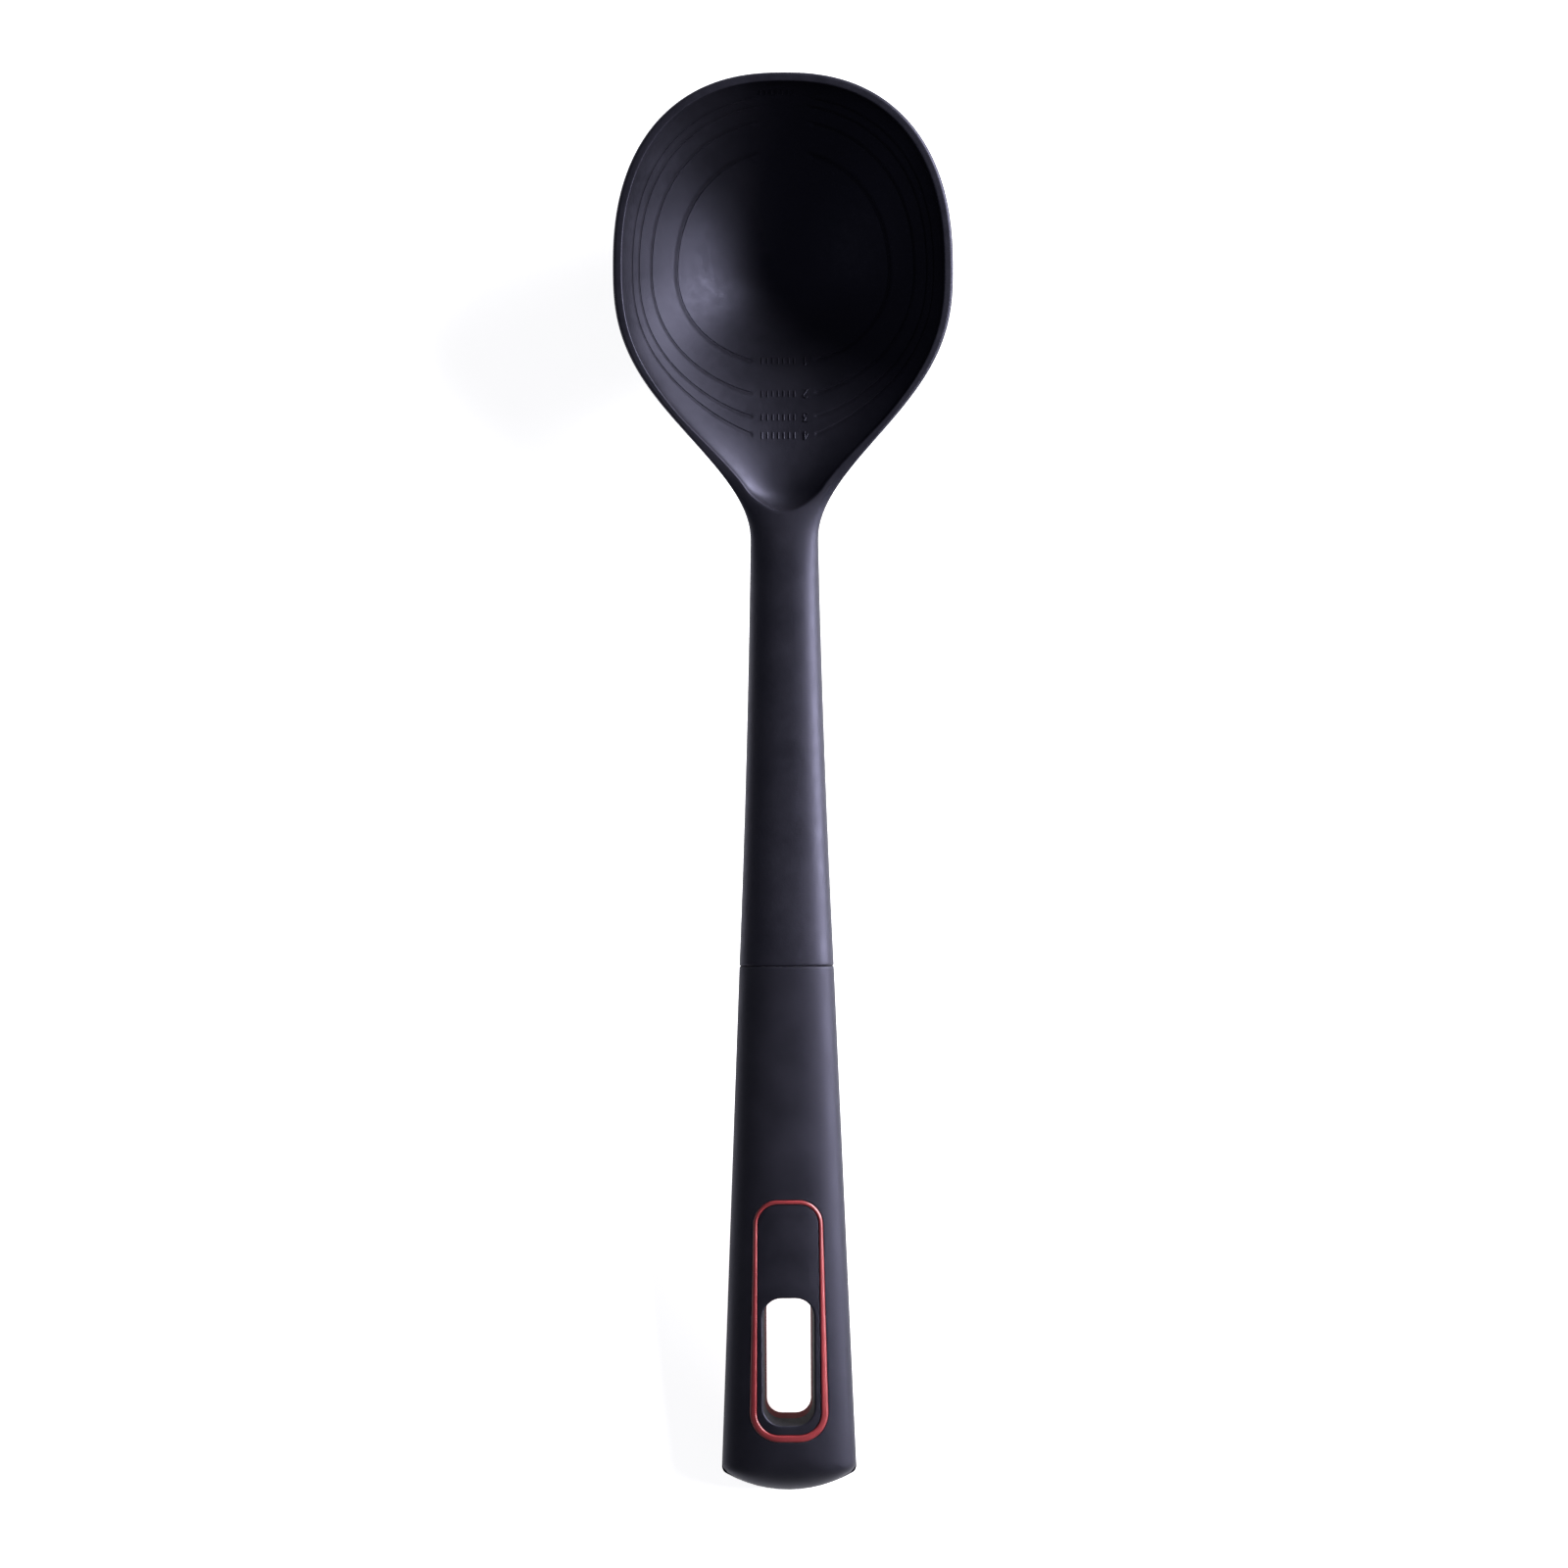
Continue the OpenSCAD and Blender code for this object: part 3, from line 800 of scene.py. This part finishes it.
def insert_piece(material, wall_material):
    outer, inner = insert_shape(), plate_shape()
    rings = [on_cup_floor(inner)]
    for share in INSERT_SHARES:
        at = mix(inner, outer, share)
        band = np.linalg.norm(outer - inner, axis=1)
        edge = min(share, 1 - share) * band
        fall = quarter_round(edge, INSERT_ROUNDING)
        rings.append(ring(at, top(at[:, 0], at[:, 1]) + INSERT_RISE - fall))
    back_edge = insert_shape(-INSERT_BACK_INSET)
    rings.append(on_bottom(outer, INSERT_BACK_INSET))
    rings.append(on_bottom(back_edge))
    back = slot_ring(SLOT_DRAFT, SLOT_LEAN)
    rings += [on_bottom(mix(back_edge, back, share)) for share in (0.25, 0.5, 0.75)]
    rings.append(on_bottom(slot_ring(SLOT_DRAFT - SLOT_BACK_ROUNDING, SLOT_LEAN)))
    rings.append(on_bottom(back, SLOT_BACK_ROUNDING))
    rings.append(on_cup_floor(slot_ring(SLOT_DRAFT / 2, SLOT_LEAN / 2)))
    rings.append(rings[0])
    return solid("accent_insert_edge", [patch(rings)], material, ["accent_insert"],
                 wall_material=wall_material)


def plate_piece(material, wall_material):
    outer = plate_shape(-PLATE_GAP)
    lip = slot_ring(-SLOT_ROUNDING, 0)
    joint = slot_ring(SLOT_DRAFT / 2, SLOT_LEAN / 2)
    rings = [on_cup_floor(joint)]
    for angle in np.linspace(0, np.pi / 2, 9):
        shrink = -SLOT_ROUNDING * (1 - math.cos(angle))
        fall = SLOT_ROUNDING * (1 - math.sin(angle))
        rings.append(on_top(slot_ring(shrink, 0), -PLATE_DROP - fall))
    for share in PLATE_SHARES:
        at = mix(lip, plate_shape(-PLATE_GAP - PLATE_ROUNDING), share)
        rings.append(on_top(at, -PLATE_DROP))
    for angle in np.linspace(0, np.pi / 2, 5):
        inset = PLATE_ROUNDING * (1 - math.sin(angle))
        fall = PLATE_ROUNDING * (1 - math.cos(angle))
        rings.append(on_top(plate_shape(-PLATE_GAP - inset), -PLATE_DROP - fall))
    rings.append(on_cup_floor(outer))
    rings.append(rings[0])
    return solid("slot_plate_black", [patch(rings)], material, ["slot_plate"],
                 wall_material=wall_material)


# ---- Floor, lights and camera ------------------------------------------------------------

FLOOR_SIZE = 12.0
FLOOR_GAP = 0.0005
BLUE_WHITE = (0.95, 0.95, 1.0)


def floor_piece():
    """A plain pale floor, bright enough to read as white."""
    m = Nodes("pale_floor")
    cloud = m.noise(3)
    m.blend_colours(m.spread(cloud, 0, 1), (0.86, 0.86, 0.86), (0.88, 0.88, 0.88))
    m.shader.inputs["Roughness"].default_value = 0.9
    m.shader.inputs["Emission Color"].default_value = (1, 1, 1, 1)
    m.shader.inputs["Emission Strength"].default_value = 0.9
    bpy.ops.mesh.primitive_plane_add(size=FLOOR_SIZE, location=(0, 0, -FLOOR_GAP))
    plane = bpy.context.object
    plane.name = "floor"
    plane.data.materials.append(m.material)


def area_light(name, location, target, size, power, colour, spread=180):
    data = bpy.data.lights.new(name, "AREA")
    data.shape = "RECTANGLE"
    data.size, data.size_y = size
    data.energy = power
    data.color = colour
    data.spread = math.radians(spread)
    light = bpy.data.objects.new(name, data)
    light.location = location
    way = Vector(target) - Vector(location)
    light.rotation_euler = way.to_track_quat("-Z", "Y").to_euler()
    bpy.context.collection.objects.link(light)


def lights():
    area_light("right_softbox", location=(1.095, 0.558, 0.45), target=(0, 0, 0.02),
               size=(0.85, 0.55), power=43, colour=BLUE_WHITE)
    area_light("handle_strip", location=(0.36, -0.05, 0.21), target=(0, -0.05, 0.02),
               size=(0.24, 0.12), power=0.17, colour=BLUE_WHITE, spread=36)
    area_light("left_fill", location=(-1.3, -0.1, 0.5), target=(0, 0, 0),
               size=(0.8, 1.4), power=0.5, colour=(0.9, 0.92, 1.0))
    world = bpy.data.worlds.new("studio")
    world.use_nodes = True
    background = world.node_tree.nodes["Background"]
    background.inputs["Color"].default_value = (0.75, 0.76, 1.0, 1)
    background.inputs["Strength"].default_value = 0.08
    bpy.context.scene.world = world


# The camera looks straight down: how much of the table it sees, in metres, its lens and sensor
# in millimetres, its turn in degrees, and the place it looks at, in millimetres.
VIEW_WIDTH = 0.3752
LENS = 150.0
SENSOR = 36.0
FOCUS_HEIGHT = 0.022
CAMERA_ROLL = 0.3
VIEW_X, VIEW_Y = -0.4, 0.6


def camera():
    data = bpy.data.cameras.new("camera")
    data.sensor_width = SENSOR
    data.lens = LENS
    eye = bpy.data.objects.new("camera", data)
    distance = VIEW_WIDTH / 2 / (SENSOR / 2 / LENS)
    eye.location = (VIEW_X * MM, VIEW_Y * MM, FOCUS_HEIGHT + distance)
    eye.rotation_euler = (0, 0, -math.radians(CAMERA_ROLL))
    bpy.context.collection.objects.link(eye)
    bpy.context.scene.camera = eye


nylon = nylon_material()
bowl_piece(nylon)
level_marks(nylon)
grip_piece(grip_material())
# The red given to the slot walls is darker than the insert's own red: painted shade in the slot.
insert_piece(accent_material(), wall_finish("red_slot_wall_painted_shade", (0.10, 0.008, 0.010)))
plate_piece(plate_material(), wall_finish("black_slot_wall", (0.010, 0.010, 0.014)))
floor_piece()
lights()
camera()
bpy.context.scene.view_settings.view_transform = "Standard"
